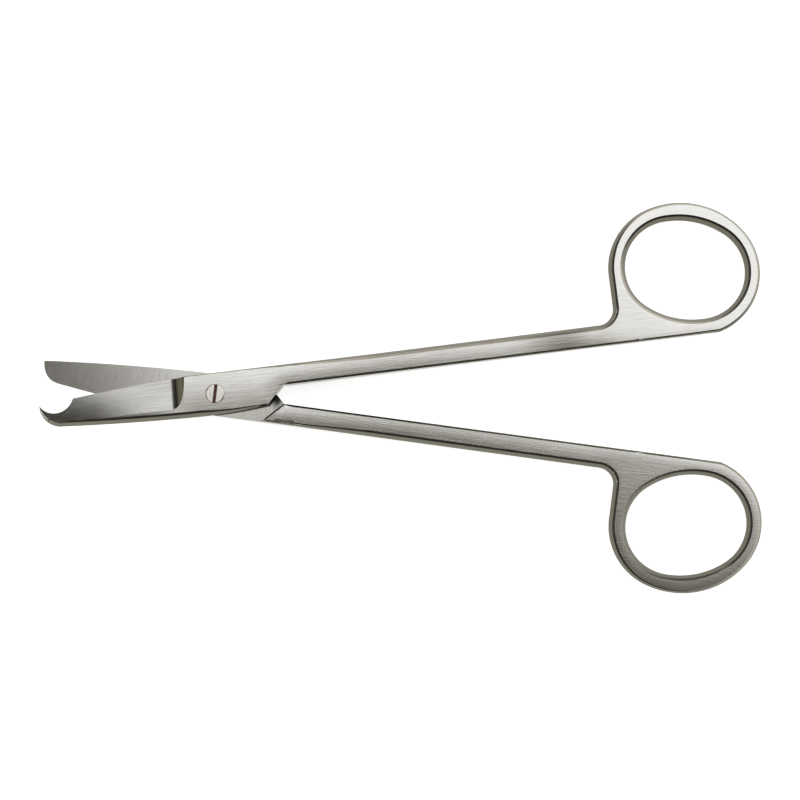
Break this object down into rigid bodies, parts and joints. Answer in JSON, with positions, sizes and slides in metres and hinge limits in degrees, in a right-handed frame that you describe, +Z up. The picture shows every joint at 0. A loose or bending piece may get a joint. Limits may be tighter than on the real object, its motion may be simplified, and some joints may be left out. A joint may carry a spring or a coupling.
{
  "type": "suture scissors",
  "caption": "Suture scissors with a hooked cutting blade and a plain blade, half-lap joint on a slotted pivot screw, tapered shanks and oval finger rings.",
  "frame": {"origin": "on the pivot axis, on the flat underside of the joint that the scissors lie on", "axes": "+X from the pivot to the finger rings, midway between the two shanks; +Z up out of the screw's head; +Y to the ring of the hook half"},
  "size_m": [0.1373, 0.0742, 0.0044],
  "materials": {
    "hook_half_steel": "satin, brushed along the shank and across the blade",
    "plain_half_steel": "satin, brushed along the shank and across the blade",
    "screw_steel": "fine turned face"
  },
  "bodies": {
    "plain": {"plain_half": "plain_half_steel", "pivot_screw": "screw_steel"},
    "hook": {"hook_half": "hook_half_steel"}
  },
  "joints": [
    {"name": "pivot", "type": "hinge", "parent": "plain", "child": "hook", "pos_m": [0, 0, 0.0022], "axis": [0, 0, 1], "range_deg": [-14.5, 90]}
  ]
}
